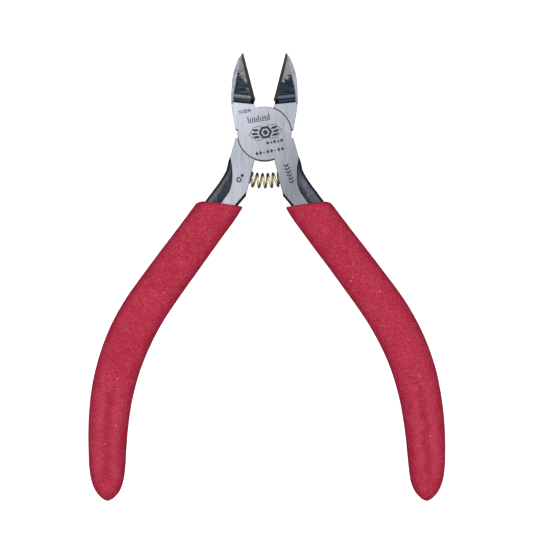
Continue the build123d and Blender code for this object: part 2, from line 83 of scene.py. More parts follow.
# ---------------------------------------------------------------------------
# Node-graph helper
# ---------------------------------------------------------------------------
class Mat:
    def __init__(self, name, metallic=0.0, roughness=0.5, colour=(0.5, 0.5, 0.5), specular=0.5):
        self.m = bpy.data.materials.new(name)
        self.m.use_nodes = True
        self.t = self.m.node_tree
        self.p = next(n for n in self.t.nodes if n.type == "BSDF_PRINCIPLED")
        self.p.inputs["Metallic"].default_value = metallic
        self.p.inputs["Roughness"].default_value = roughness
        self.p.inputs["Base Color"].default_value = (*colour, 1)
        self.p.inputs["Specular IOR Level"].default_value = specular
        self.coord = self.t.nodes.new("ShaderNodeTexCoord")
        self.xyz = None

    def node(self, kind, **values):
        n = self.t.nodes.new(kind)
        for k, v in values.items():
            setattr(n, k, v)
        return n

    def put(self, socket, value):
        if isinstance(value, bpy.types.NodeSocket):
            self.t.links.new(value, socket)
        else:
            socket.default_value = value

    def math(self, op, a, b=0.0, c=0.0, clamp=False):
        n = self.node("ShaderNodeMath", operation=op, use_clamp=clamp)
        self.put(n.inputs[0], a)
        self.put(n.inputs[1], b)
        if op in ("MULTIPLY_ADD", "SMOOTH_MIN", "SMOOTH_MAX", "COMPARE"):
            self.put(n.inputs[2], c)
        return n.outputs[0]

    def position(self, rotate=0.0, scale=(1, 1, 1), shift=(0, 0, 0), source="Object"):
        n = self.node("ShaderNodeMapping")
        self.t.links.new(self.coord.outputs[source], n.inputs["Vector"])
        n.inputs["Rotation"].default_value = (0, 0, math.radians(rotate))
        n.inputs["Scale"].default_value = scale
        n.inputs["Location"].default_value = shift
        return n.outputs[0]

    def separate(self, vector):
        n = self.node("ShaderNodeSeparateXYZ")
        self.t.links.new(vector, n.inputs[0])
        return n.outputs[0], n.outputs[1], n.outputs[2]

    def noise(self, vector, scale, detail=3.0, rough=0.5, distortion=0.0, colour=False):
        n = self.node("ShaderNodeTexNoise")
        self.t.links.new(vector, n.inputs["Vector"])
        n.inputs["Scale"].default_value = scale
        n.inputs["Detail"].default_value = detail
        n.inputs["Roughness"].default_value = rough
        n.inputs["Distortion"].default_value = distortion
        return n.outputs["Color" if colour else "Fac"]

    def voronoi(self, vector, scale, feature="F1"):
        n = self.node("ShaderNodeTexVoronoi", feature=feature)
        self.t.links.new(vector, n.inputs["Vector"])
        n.inputs["Scale"].default_value = scale
        return n

    def span(self, value, low, high, out_low=0.0, out_high=1.0, smooth=True):
        n = self.node("ShaderNodeMapRange", clamp=True,
                      interpolation_type="SMOOTHSTEP" if smooth else "LINEAR")
        self.put(n.inputs["Value"], value)
        self.put(n.inputs["From Min"], low)
        self.put(n.inputs["From Max"], high)
        self.put(n.inputs["To Min"], out_low)
        self.put(n.inputs["To Max"], out_high)
        return n.outputs["Result"]

    def mix(self, fac, a, b, blend="MIX"):
        n = self.node("ShaderNodeMix", data_type="RGBA", blend_type=blend)
        self.put(n.inputs[0], fac)
        self.put(n.inputs[6], (*a, 1) if isinstance(a, tuple) else a)
        self.put(n.inputs[7], (*b, 1) if isinstance(b, tuple) else b)
        return n.outputs[2]

    def ramp(self, fac, stops):
        n = self.node("ShaderNodeValToRGB")
        self.put(n.inputs[0], fac)
        e = n.color_ramp.elements
        while len(e) < len(stops):
            e.new(0.5)
        for el, (at, col) in zip(e, stops):
            el.position = at
            el.color = (*col, 1)
        return n.outputs[0]

    def bump(self, height, strength, distance, under=None):
        n = self.node("ShaderNodeBump")
        self.put(n.inputs["Height"], height)
        n.inputs["Strength"].default_value = strength
        n.inputs["Distance"].default_value = distance
        if under is not None:
            self.t.links.new(under, n.inputs["Normal"])
        return n.outputs[0]

    def colour(self, socket):
        self.t.links.new(socket, self.p.inputs["Base Color"])

    def rough(self, socket):
        self.t.links.new(socket, self.p.inputs["Roughness"])

    def normal(self, socket):
        self.t.links.new(socket, self.p.inputs["Normal"])


# ---------------------------------------------------------------------------
# Metals
# ---------------------------------------------------------------------------
def ground_steel(name, lean, tint=(0.430, 0.452, 0.505), rough=0.34, painted_light_slope=(0.0, 0.0), seed=0.0):
    """Belt-ground steel: fine straight scratches that run along the tool."""
    m = Mat(name, metallic=1.0, roughness=rough, colour=tint)
    fine = m.noise(m.position(rotate=lean, scale=(7800, 190, 4200), shift=(seed, 0, 0)), 1.0, 3.0, 0.6)
    wide = m.noise(m.position(rotate=lean, scale=(2300, 60, 1500), shift=(seed + 3, 0, 0)), 1.0, 3.0, 0.55)
    broad = m.noise(m.position(shift=(seed, 1, 0)), 190.0, 2.0, 0.5)
    scratch = m.noise(m.position(rotate=lean + 5, scale=(3400, 150, 3000), shift=(seed + 9, 0, 0)), 1.0, 1.0, 0.5)
    nick = m.span(scratch, 0.70, 0.80)
    lines = m.math("MULTIPLY_ADD", fine, 0.55, m.math("MULTIPLY", wide, 0.45))
    shade = m.span(lines, 0.30, 0.70, 0.80, 1.18, smooth=False)
    shade = m.math("MULTIPLY", shade, m.span(broad, 0.3, 0.7, 0.95, 1.05))
    shade = m.math("MULTIPLY", shade, m.span(nick, 0.0, 1.0, 1.0, 1.12, smooth=False))
    # painted light: the tone is painted brighter towards one side of the face and darker towards the other
    x, y, z = m.separate(m.position(scale=(1000, 1000, 1000)))
    painted_light_drift = m.math("ADD", m.math("MULTIPLY", x, painted_light_slope[0]), m.math("MULTIPLY_ADD", y, painted_light_slope[1], 1.0))
    shade = m.math("MULTIPLY", shade, m.span(painted_light_drift, 0.6, 1.4, 0.6, 1.4, smooth=False))
    grey = m.mix(1.0, tint, m.ramp(m.math("MULTIPLY", shade, 0.5), [(0.0, (0, 0, 0)), (1.0, (2, 2, 2))]), "MULTIPLY")
    m.colour(grey)
    m.rough(m.span(lines, 0.25, 0.75, rough - 0.07, rough + 0.10, smooth=False))
    m.normal(m.bump(lines, 0.16, 0.00003))
    return m.m


def side_steel(name):
    """Satin edge faces: ground across the thickness, a little darker."""
    m = Mat(name, metallic=1.0, roughness=0.36)
    lines = m.noise(m.position(scale=(900, 900, 5200)), 1.0, 3.0, 0.6)
    patch = m.noise(m.position(), 420.0, 3.0, 0.55)
    m.colour(m.ramp(m.math("MULTIPLY_ADD", lines, 0.6, m.math("MULTIPLY", patch, 0.4)),
                    [(0.25, (0.20, 0.215, 0.245)), (0.5, (0.36, 0.38, 0.42)), (0.8, (0.52, 0.54, 0.58))]))
    m.rough(m.span(lines, 0.3, 0.7, 0.28, 0.46, smooth=False))
    m.normal(m.bump(lines, 0.2, 0.00004))
    return m.m


def bright_steel(name, seed=0.0):
    """Polished break or facet, its pale, partly diffuse colour a painted highlight that stays bright under any light.
    """
    m = Mat(name, metallic=0.6, roughness=0.22)
    lines = m.noise(m.position(scale=(3500, 500, 3500), shift=(seed, 0, 0)), 1.0, 2.0, 0.5)
    m.colour(m.ramp(lines, [(0.3, (0.62, 0.65, 0.72)), (0.7, (0.86, 0.88, 0.93))]))
    m.rough(m.span(lines, 0.3, 0.7, 0.16, 0.30, smooth=False))
    m.normal(m.bump(lines, 0.08, 0.00002))
    return m.m


def spine_steel(name, seed=0.0):
    """Chamfer and tip facet along the outside of a blade; its pale, partly diffuse colour is a painted highlight."""
    m = Mat(name, metallic=0.55, roughness=0.24)
    lines = m.noise(m.position(scale=(1400, 420, 1400), shift=(seed, 0, 0)), 1.0, 3.0, 0.55)
    m.colour(m.ramp(lines, [(0.25, (0.40, 0.42, 0.48)), (0.5, (0.72, 0.75, 0.82)), (0.8, (0.90, 0.92, 0.97))]))
    m.rough(m.span(lines, 0.3, 0.7, 0.18, 0.34, smooth=False))
    m.normal(m.bump(lines, 0.1, 0.00002))
    return m.m


def hollow_steel(name, sx, seed, strip, upper, dark, line_at, line_slope, mottle=0.0):
    """Hollow-ground blade face: painted reflections in bands across it below, and a
    duller, finely cross-ground field towards the tip, with a ragged line between;
    a painted highlight and reflection on the step's fillet, painted shade in its inner corner."""
    m = Mat(name, metallic=1.0, roughness=0.2)
    x, y, z = m.separate(m.position(scale=(1000 * sx, 1000, 1000)))
    # distance from the step line towards the tip (v), and across from it (u)
    dx = m.math("ADD", x, 5.07)
    dy = m.math("SUBTRACT", y, 7.35)
    v = m.math("ADD", m.math("MULTIPLY", dx, math.sin(math.radians(5))), m.math("MULTIPLY", dy, math.cos(math.radians(5))))
    u = m.math("SUBTRACT", m.math("MULTIPLY", dx, math.cos(math.radians(5))), m.math("MULTIPLY", dy, math.sin(math.radians(5))))
    streak = m.noise(m.position(scale=(420, 3400, 600), shift=(seed, seed, 0)), 1.0, 4.0, 0.62)
    rag = m.noise(m.position(scale=(1300, 1500, 600), shift=(seed + 4, 0, 0)), 1.0, 3.0, 0.6)
    fine = m.noise(m.position(scale=(900, 7000, 900), shift=(seed + 8, 0, 0)), 1.0, 2.0, 0.5)
    # across from the outside (u about -3) to the edge bevel (u about 2.5)
    line = m.math("MULTIPLY_ADD", u, line_slope, line_at)
    wobble = m.math("MULTIPLY", m.math("SUBTRACT", rag, 0.5), 4.2)
    wobble = m.math("ADD", wobble, m.math("MULTIPLY", m.math("SUBTRACT", streak, 0.5), 3.2))
    edge = m.math("ADD", m.math("SUBTRACT", v, line), wobble)
    field = m.span(edge, -0.12, 0.22)
    up_tone = m.mix(m.span(streak, 0.30, 0.62), tuple(c * 0.52 for c in upper), tuple(c * 1.15 for c in upper))
    up_tone = m.mix(m.span(v, 9.5, 12.8, 0.0, 0.75), up_tone, tuple(c * 0.55 for c in upper))
    # painted reflections: dark bands with lighter streaks below the ragged line; mottle sets how much of a lighter
    # painted-reflection patch shows in them
    painted_reflection_tone = m.mix(m.span(streak, 0.44, 0.74), dark, tuple(min(1.0, c * 2.6 + 0.010) for c in dark))
    patch = m.math("MULTIPLY", m.span(u, -0.5, 0.9), m.math("MULTIPLY", m.span(v, 2.5, 3.3), m.span(streak, 0.47, 0.60)))
    painted_reflection_tone = m.mix(m.math("MULTIPLY", patch, mottle), painted_reflection_tone, tuple(c * 0.75 for c in upper))
    tone = m.mix(field, painted_reflection_tone, up_tone)
    # painted highlight: a pale band on the fillet above the root of the step
    painted_highlight_band = m.math("MULTIPLY", m.span(v, 0.86, 1.55), m.span(v, 1.92, 2.30, 1.0, 0.0))
    tone = m.mix(painted_highlight_band, tone, strip)
    # painted reflection: a bluish tone at the foot of the step
    root = m.span(v, 0.85, 1.05, 1.0, 0.0)
    tone = m.mix(root, tone, (0.33, 0.36, 0.50))
    # painted shade: near-black in the inner corner at the root, dark olive further from the step
    corner = m.math("MULTIPLY", m.span(u, 1.35, 1.75), m.span(v, 2.1, 2.6, 1.0, 0.0))
    tone = m.mix(corner, tone, m.mix(m.span(v, 0.6, 1.6), (0.006, 0.006, 0.006), (0.045, 0.041, 0.026)))
    grain = m.span(fine, 0.3, 0.7, 0.93, 1.07, smooth=False)
    tone = m.mix(1.0, tone, m.ramp(m.math("MULTIPLY", grain, 0.5), [(0.0, (0, 0, 0)), (1.0, (2, 2, 2))]), "MULTIPLY")
    m.colour(tone)
    m.rough(m.span(field, 0, 1, 0.16, 0.34, smooth=False))
    m.normal(m.bump(streak, 0.10, 0.00003))
    return m.m


def bevel_steel(name, seed=0.0):
    """Honed cutting bevel, seen dark from the front."""
    m = Mat(name, metallic=1.0, roughness=0.3)
    lines = m.noise(m.position(scale=(700, 240, 5200), shift=(seed, 0, 0)), 1.0, 3.0, 0.55)
    x, y, z = m.separate(m.position(scale=(1000, 1000, 1000)))
    low = m.ramp(lines, [(0.3, (0.40, 0.368, 0.29)), (0.7, (0.58, 0.54, 0.44))])
    high = m.ramp(lines, [(0.3, (0.52, 0.51, 0.455)), (0.7, (0.70, 0.69, 0.625))])
    m.colour(m.mix(m.span(y, 11.0, 19.0), low, high))
    m.rough(m.span(lines, 0.3, 0.7, 0.24, 0.38, smooth=False))
    m.normal(m.bump(lines, 0.12, 0.00003))
    return m.m


def dark_steel(name):
    """Near-black painted shade, for the relief at the root of the blades and the lap line round the disc."""
    m = Mat(name, metallic=0.9, roughness=0.5)
    n = m.noise(m.position(), 1800.0, 4.0, 0.6)
    m.colour(m.ramp(n, [(0.3, (0.020, 0.019, 0.015)), (0.7, (0.070, 0.066, 0.050))]))
    m.rough(m.span(n, 0.3, 0.7, 0.42, 0.60, smooth=False))
    m.normal(m.bump(n, 0.3, 0.00004))
    return m.m


def forged_steel(name, sx, highlight_line, seed=0.0):
    """Forged tang under heat-treatment scale: blue-black, with a painted highlight
    along its flat and painted shade in its rounded edges."""
    m = Mat(name, metallic=0.85, roughness=0.42)
    x, y, z = m.separate(m.position(scale=(1000 * sx, 1000, 1000)))
    mottle = m.noise(m.position(shift=(seed, 0, 0)), 1500.0, 5.0, 0.62)
    drag = m.noise(m.position(rotate=-36 * sx, scale=(2600, 420, 2600), shift=(seed, 0, 0)), 1.0, 4.0, 0.6)
    pits = m.noise(m.position(shift=(seed + 2, 0, 0)), 5200.0, 2.0, 0.6)
    tone = m.ramp(m.math("MULTIPLY_ADD", mottle, 0.45, m.math("MULTIPLY", drag, 0.55)),
                  [(0.28, (0.022, 0.025, 0.036)), (0.5, (0.062, 0.068, 0.092)), (0.72, (0.135, 0.145, 0.185))])
    # painted shade in the rounded edges, by how far down the rounded edge; the top and bottom flats keep the scale's
    # tone
    off_mid = m.math("ABSOLUTE", m.math("SUBTRACT", z, MID))
    flat = m.span(off_mid, 2.02, 2.295)
    # painted highlight and shade: lighter along a line down the flat, darker away from it, as beside the plate
    (cx, cy), (tx, ty) = highlight_line
    size = math.hypot(tx, ty)
    off = m.math("ADD", m.math("MULTIPLY", m.math("SUBTRACT", x, cx), -ty / size), m.math("MULTIPLY", m.math("SUBTRACT", y, cy), tx / size))
    off = m.math("ADD", off, m.math("MULTIPLY", m.math("SUBTRACT", drag, 0.5), 0.9))
    painted_highlight_mask = m.span(m.math("ABSOLUTE", off), 0.35, 1.55, 1.0, 0.0)
    tone = m.mix(painted_highlight_mask, m.mix(1.0, tone, (0.50, 0.50, 0.51), "MULTIPLY"), m.mix(1.0, tone, (1.45, 1.45, 1.45), "MULTIPLY"))
    tone = m.mix(flat, (0.052, 0.048, 0.043), tone)
    up = m.span(y, -12.0, -8.0)
    tone = m.mix(m.math("MULTIPLY", up, 0.80), tone, (0.022, 0.023, 0.030))
    m.colour(tone)
    m.rough(m.span(mottle, 0.3, 0.7, 0.32, 0.54, smooth=False))
    first = m.bump(mottle, 0.35, 0.00006)
    m.normal(m.bump(pits, 0.25, 0.00003, under=first))
    return m.m


def spring_brass(name):
    """Drawn wire with a thin golden coating."""
    m = Mat(name, metallic=1.0, roughness=0.24)
    tone = m.noise(m.position(), 2600.0, 3.0, 0.55)
    draw = m.noise(m.position(scale=(900, 6000, 6000)), 1.0, 2.0, 0.5)
    m.colour(m.ramp(m.math("MULTIPLY_ADD", tone, 0.6, m.math("MULTIPLY", draw, 0.4)),
                    [(0.28, (0.36, 0.28, 0.13)), (0.5, (0.74, 0.64, 0.37)), (0.75, (0.96, 0.90, 0.66))]))
    m.rough(m.span(tone, 0.3, 0.7, 0.17, 0.34, smooth=False))
    m.normal(m.bump(draw, 0.12, 0.00002))
    return m.m


def etched(name):
    """Laser-etched marking: dark, dull and slightly uneven."""
    m = Mat(name, metallic=0.2, roughness=0.7)
    n = m.noise(m.position(), 5200.0, 3.0, 0.6)
    m.colour(m.ramp(n, [(0.3, (0.012, 0.013, 0.016)), (0.7, (0.045, 0.047, 0.054))]))
    m.rough(m.span(n, 0.3, 0.7, 0.58, 0.82, smooth=False))
    m.normal(m.bump(n, 0.3, 0.00002))
    return m.m


# ---------------------------------------------------------------------------
# Grip sleeve
# ---------------------------------------------------------------------------
def grip_vinyl(name, seed=0.0):
    """Soft matte dipped vinyl with a fine foamy surface."""
    m = Mat(name, metallic=0.0, roughness=0.66, specular=0.22)
    p = m.position(shift=(seed, seed * 0.7, 0))
    foam = m.noise(p, 2100.0, 4.0, 0.62, 0.25)
    pore = m.voronoi(p, 3400.0).outputs["Distance"]
    grit = m.noise(p, 5200.0, 2.0, 0.6)
    cloud = m.noise(p, 340.0, 4.0, 0.55)
    slow = m.noise(p, 70.0, 2.0, 0.5)
    grain = m.math("MULTIPLY_ADD", m.noise(p, 3900.0, 2.0, 0.5), 0.42, m.math("MULTIPLY", foam, 0.43))
    tone = m.ramp(m.math("MULTIPLY_ADD", cloud, 0.15, grain),
                  [(0.36, (0.310, 0.0020, 0.0150)), (0.50, (0.405, 0.0140, 0.0440)), (0.64, (0.530, 0.0700, 0.1250))])
    tone = m.mix(m.span(slow, 0.35, 0.65, 0.0, 0.12), tone, (0.37, 0.008, 0.028))
    # along the sleeve (u, in mm) and across its front (v, in mm)
    u, v, w = m.separate(m.coord.outputs["UV"])
    # painted shade in a shallow crease down the middle near the lower end
    low = m.math("MULTIPLY", m.span(u, 52.0, 62.0), m.span(u, 75.5, 79.5, 1.0, 0.0))
    waver = m.math("MULTIPLY", m.math("SUBTRACT", m.noise(p, 300.0, 3.0, 0.6), 0.5), 2.6)
    mid = m.math("ABSOLUTE", m.math("ADD", m.math("SUBTRACT", v, 50.0), waver))
    painted_crease_shade = m.math("MULTIPLY", m.span(mid, 0.25, 1.15, 1.0, 0.0), low)
    tone = m.mix(m.math("MULTIPLY", painted_crease_shade, 0.55), tone, (0.30, 0.0050, 0.018))
    # painted highlights along either side of the crease
    sides = m.math("MULTIPLY", m.math("MULTIPLY", m.span(mid, 0.9, 1.7), m.span(mid, 2.1, 3.4, 1.0, 0.0)), low)
    tone = m.mix(m.math("MULTIPLY", sides, 0.28), tone, (0.46, 0.050, 0.095))
    # a few pale specks, as of trapped dust
    cells = m.voronoi(p, 420.0)
    pick = m.separate(cells.outputs["Color"])[0]
    dot = m.math("MULTIPLY", m.span(cells.outputs["Distance"], 0.05, 0.10, 1.0, 0.0), m.math("GREATER_THAN", pick, 0.70))
    tone = m.mix(m.math("MULTIPLY", dot, 0.65), tone, (0.80, 0.30, 0.36))
    m.colour(tone)
    m.rough(m.span(foam, 0.3, 0.7, 0.54, 0.72, smooth=False))
    a = m.bump(foam, 0.42, 0.00011)
    b = m.bump(pore, 0.22, 0.00006, under=a)
    m.normal(m.bump(grit, 0.18, 0.00003, under=b))
    return m.m


def spline(points, n):
    """Smooth curve through the points, as a function of distance along it, and its length; n is not used."""
    pts = [Vector(p) for p in points]
    dist = [0.0]
    for a, b in zip(pts, pts[1:]):
        dist.append(dist[-1] + (b.xy - a.xy).length)
    k = len(pts)

    def slope(i):
        if i == 0:
            return (pts[1] - pts[0]) / (dist[1] - dist[0])
        if i == k - 1:
            return (pts[-1] - pts[-2]) / (dist[-1] - dist[-2])
        h0, h1 = dist[i] - dist[i - 1], dist[i + 1] - dist[i]
        d0, d1 = (pts[i] - pts[i - 1]) / h0, (pts[i + 1] - pts[i]) / h1
        return (d0 * h1 + d1 * h0) / (h0 + h1)

    slopes = [slope(i) for i in range(k)]

    def at(s):
        s = min(max(s, 0.0), dist[-1])
        i = 0
        while i < k - 2 and s > dist[i + 1]:
            i += 1
        h = dist[i + 1] - dist[i]
        t = (s - dist[i]) / h
        return (pts[i] * (2 * t ** 3 - 3 * t ** 2 + 1) + slopes[i] * h * (t ** 3 - 2 * t ** 2 + t)
                + pts[i + 1] * (-2 * t ** 3 + 3 * t ** 2) + slopes[i + 1] * h * (t ** 3 - t ** 2))

    return at, dist[-1]


def sgn_pow(v, e):
    return math.copysign(abs(v) ** e, v)


def make_grip(name, stations, mouth, sign, body, cad_node, material, seed):
    at, total = spline([(x, y, w) for x, y, w in stations], 0)
    around = 80

    def frame_at(s):
        p = at(s)
        q0, q1 = at(s - 0.25), at(s + 0.25)
        t = Vector((q1.x - q0.x, q1.y - q0.y, 0)).normalized()
        side = Vector((-t.y, t.x, 0))
        if side.x * sign < 0:
            side = -side            # always towards the outside
        return Vector((p.x, p.y, MID)), side, max(p.z, 0.02)

    def thick(w):
        return GRIP_HALF_THICKNESS * math.sin(math.pi / 2 * min(w / 4.6, 1.0)) ** 0.8

    def skin(s, a, inset_w=0.0, inset_t=0.0, power=GRIP_POWER, shift=0.0, half=None):
        c, side, w = frame_at(s)
        t = thick(w)
        if half is not None:
            hw, ht = half(a, w)
        else:
            hw, ht = w - inset_w, t - inset_t
        e = 2.0 / power
        return c + side * (shift + hw * sgn_pow(math.cos(a), e)) + Vector((0, 0, ht * sgn_pow(math.sin(a), e)))

    m0, m1 = Vector((*mouth[0], 0)), Vector((*mouth[1], 0))
    d = (m1 - m0).normalized()
    up = Vector((-d.y, d.x, 0))
    if up.y < 0:
        up = -up

    def meet(a, depth, **kw):
        """Distance along the sleeve where this line of it meets a plane this
        far below the mouth."""
        lo, hi = 0.0, 16.0
        for _ in range(34):
            mid = (lo + hi) / 2
            if (skin(mid, a, **kw) - m0).dot(up) > -depth:
                lo = mid
            else:
                hi = mid
        return (lo + hi) / 2

    angles = [2 * math.pi * k / around for k in range(around)]
    rings, uvs = [], []

    def add(points, u, vs=None):
        rings.append(points)
        uvs.append(u)

    def opening(a, w):
        outward = math.cos(a)
        k = min(max((outward + 0.02) / 0.30, 0.0), 1.0)
        k = k * k * (3 - 2 * k)
        return 3.62, 3.24 * (1 - k) + 2.36 * k

    pocket = dict(power=6.0, shift=-0.42, half=opening)
    # floor of the pocket round the steel, its wall, the mouth's face
    for depth in (3.4, 1.6, 0.5):
        add([skin(meet(a, depth, **pocket), a, **pocket) for a in angles], -2.0)
    add([skin(meet(a, 0.10, **pocket), a, **pocket) for a in angles], -1.6)
    # rolled lip
    lip_t = 0.70

    def lip(a):
        """Width and depth of the rolled lip: fuller at the inner corner."""
        k = 0.5 + 0.5 * math.cos(a)
        return 0.45 + 0.70 * k, 0.55 + 0.45 * k

    steps = 9
    for i in range(steps + 1):
        f = math.pi / 2 * (1 - i / steps)
        ring = []
        for a in angles:
            wide, deep = lip(a)
            kw = dict(inset_w=wide * (1 - math.sin(math.pi / 2 - f)), inset_t=lip_t * (1 - math.sin(math.pi / 2 - f)))
            ring.append(skin(meet(a, deep * (1 - math.sin(f)), **kw), a, **kw))
        add(ring, -1.0 + i / steps)
    # outer skin, its rings turning from the mouth's slant to square across
    starts = [meet(a, lip(a)[1]) for a in angles]
    end = total
    count = 210
    for j in range(1, count + 1):
        f = j / count
        g = 1 - (1 - f) ** 1.12 if f > 0.9 else f
        pts = []
        for k, a in enumerate(angles):
            s = starts[k] + (end - starts[k]) * f
            p = skin(s, a)
            c, side, w = frame_at(s)
            # slight hand-dipped unevenness
            q = Vector((p.x * 0.12, p.y * 0.12, p.z * 0.12 + seed))
            lump = noise.noise(q) * 0.045 + noise.noise(q * 4.3) * 0.018
            fade = min(1.0, j / 12) * min(1.0, w / 3.0)
            out = (p - c)
            if out.length > 1e-6:
                p = p - out.normalized() * (0.03 + 0.03 * abs(noise.noise(q * 2.0)) - lump) * fade
            pts.append(p)
        add(pts, f)
    tip = at(total)
    tip_point = Vector((tip.x, tip.y - 0.07, MID))

    bm = bmesh.new()
    uv = bm.loops.layers.uv.new("UVMap")
    vr = [[bm.verts.new(p * MM) for p in ring] for ring in rings]
    bottom = bm.verts.new(sum(rings[0], Vector()) / around * MM)
    top = bm.verts.new(tip_point * MM)
    n = around
    for k in range(n):
        bm.faces.new((bottom, vr[0][(k + 1) % n], vr[0][k]))
        bm.faces.new((top, vr[-1][k], vr[-1][(k + 1) % n]))
    for r in range(len(vr) - 1):
        for k in range(n):
            bm.faces.new((vr[r][k], vr[r][(k + 1) % n], vr[r + 1][(k + 1) % n], vr[r + 1][k]))
    bm.normal_update()
    bmesh.ops.recalc_face_normals(bm, faces=bm.faces[:])
    # along the sleeve in mm, and across its front in mm about 50
    for face in bm.faces:
        face.smooth = True
        for loop in face.loops:
            p = loop.vert.co / MM
            s = nearest(at, total, p)
            c, side, w = frame_at(s)
            loop[uv].uv = (s, 50.0 + (p - c).dot(side) + (0.0 if p.z > MID else 30.0))
    me = bpy.data.meshes.new(name)
    bm.to_mesh(me)
    bm.free()
    obj = bpy.data.objects.new(name, me)
    bpy.context.scene.collection.objects.link(obj)
    me.materials.append(material)
    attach(obj, body)
    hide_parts(cad_node)
    return obj


_near = {}


def nearest(at, total, p):
    key = (id(at), round(p.x, 2), round(p.y, 2))
    if key in _near:
        return _near[key]
    best, step = 0.0, total / 60
    lo = min((at(i * step).xy - p.xy).length for i in range(61))
    for i in range(61):
        if (at(i * step).xy - p.xy).length <= lo + 1e-9:
            best = i * step
            break
    a, b = best - step, best + step
    for _ in range(12):
        c1, c2 = a + (b - a) / 3, b - (b - a) / 3
        if (at(c1).xy - p.xy).length < (at(c2).xy - p.xy).length:
            b = c2
        else:
            a = c1
    _near[key] = (a + b) / 2
    return _near[key]


# ---------------------------------------------------------------------------
# Return spring: round wire coiled about a bowed axis
# ---------------------------------------------------------------------------
WIRE_RADIUS = 0.27
COIL_MEAN_RADIUS = 1.68
SPRING_ARC_CENTRE = 4.03
SPRING_ARC_RADIUS = 15.42
SEAT_ANGLE = 13.45
SEAT_DEPTH = 1.35
ACTIVE_TURNS = 6.6
END_TURNS = 0.5


def make_spring(material):
    a = math.radians(SEAT_ANGLE)
    half = SPRING_ARC_RADIUS * a + SEAT_DEPTH - WIRE_RADIUS - 0.02
    turns = ACTIVE_TURNS + 2 * END_TURNS
    pitch = 2 * WIRE_RADIUS + 0.06
    closed = END_TURNS * pitch

    def along(t):
        if t < END_TURNS:
            return -half + t * pitch
        if t > turns - END_TURNS:
            return half - (turns - t) * pitch
        u = (t - END_TURNS) / ACTIVE_TURNS
        spread = 2 * (half - closed)
        m = pitch * ACTIVE_TURNS / spread
        e = 0.12
        h = (1 - m) / (1 - e)
        if u < e:
            f = m * u + h * u * u / (2 * e)
        elif u > 1 - e:
            w = 1 - u
            f = 1 - (m * w + h * w * w / (2 * e))
        else:
            f = m * u + h * (u - e / 2)
        return -half + closed + spread * f

    def point(t):
        s = along(t)
        th = max(-a, min(a, s / SPRING_ARC_RADIUS))
        extra = s - th * SPRING_ARC_RADIUS
        c = Vector((SPRING_ARC_RADIUS * math.sin(th) + extra * math.cos(th),
                    SPRING_ARC_CENTRE - SPRING_ARC_RADIUS * math.cos(th) + extra * math.sin(th), MID))
        radial = Vector((-math.sin(th), math.cos(th), 0))
        w = 2 * math.pi * t + math.pi * 1.149
        return c + radial * (COIL_MEAN_RADIUS * math.cos(w)) + Vector((0, 0, COIL_MEAN_RADIUS * math.sin(w))), c

    n, sides = int(turns * 44), 16
    bm = bmesh.new()
    rings = []
    for i in range(n + 1):
        t = turns * i / n
        p, c = point(t)
        q0, _ = point(max(t - 0.004, 0))
        q1, _ = point(min(t + 0.004, turns))
        d = (q1 - q0).normalized()
        out = (p - c)
        out = (out - d * out.dot(d)).normalized()
        side = d.cross(out)
        rings.append([bm.verts.new((p + (out * math.cos(2 * math.pi * k / sides)
                                         + side * math.sin(2 * math.pi * k / sides)) * WIRE_RADIUS) * MM)
                      for k in range(sides)])
    for r0, r1 in zip(rings, rings[1:]):
        for k in range(sides):
            bm.faces.new((r0[k], r0[(k + 1) % sides], r1[(k + 1) % sides], r1[k]))
    bm.faces.new(rings[0][::-1])
    bm.faces.new(rings[-1])
    bmesh.ops.recalc_face_normals(bm, faces=bm.faces[:])
    for f in bm.faces:
        f.smooth = len(f.verts) == 4
    me = bpy.data.meshes.new("coil_spring")
    bm.to_mesh(me)
    bm.free()
    me.materials.append(material)
    obj = bpy.data.objects.new("coil_spring", me)
    bpy.context.scene.collection.objects.link(obj)
    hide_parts("return_spring")
    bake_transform(obj)
    return obj


# ---------------------------------------------------------------------------
# Steel halves: keep the CAD shape, give each kind of surface its own finish
# ---------------------------------------------------------------------------
def across(outline, y):
    """x of an outline that runs down from its first point, at this y."""
    for (x0, y0), (x1, y1) in zip(outline, outline[1:]):
        if y1 <= y <= y0:
            k = (y - y0) / (y1 - y0) if abs(y1 - y0) > 1e-9 else 0
            return x0 + (x1 - x0) * k
    return outline[0][0] if y > outline[0][1] else outline[-1][0]


def finish_half(obj, sx, mats):
    """sx is +1 for the half whose jaw is on the left, -1 for the other."""
    order = ["ground", "side", "hollow", "bevel", "spine", "forged", "bright", "dark"]
    me = obj.data
    me.materials.clear()
    for key in order:
        me.materials.append(mats[key])
    idx = {k: i for i, k in enumerate(order)}
    for poly in me.polygons:
        c = poly.center / MM
        n = poly.normal
        x, y, z = c.x * sx, c.y, c.z
        nx, ny, nz = n.x * sx, n.y, n.z
        kind = "side"
        if y > 6.9 and x < 0:
            if nz < -0.5:
                kind = "ground"
            elif z > HEAD - 0.015 and nz > 0.9:
                kind = "ground"
            elif nx > 0.55 and y > 8.3:
                kind = "bevel"
            elif z > HEAD - 0.14 and 0.5 < nz < 0.9 and nx < -0.3 and y < 7.9:
                kind = "bright"
            elif nz > 0.35 and nx < -0.36:
                kind = "spine"
            elif nz > 0.3 or (ny > 0.55 and z > 1.6):
                kind = "hollow"
            # root relief faces: near-black painted shade
            elif nx > 0.3 or abs(ny) > 0.6:
                kind = "dark"
        elif x > 0 and y < -4.3 and TANG_LOW - 0.03 < z < TANG_HIGH + 0.03 and (
                x > across(PLATE_OUT, y) + 0.03 or (y < -14.05 and x < across(PLATE_IN, y) - 0.02) or y < -19.3):
            kind = "forged"
        elif abs(nz) > 0.9:
            kind = "ground"
        # edge breaks get the pale finish, a painted highlight; the disc's edge along the lap line gets the near-black
        # one, painted shade in the gap
        elif abs(nz) > 0.5 and (z > HEAD - 0.14 or z < 0.14):
            kind = "dark" if 6.3 < math.hypot(x, y) < 6.64 else "bright"
        poly.material_index = idx[kind]


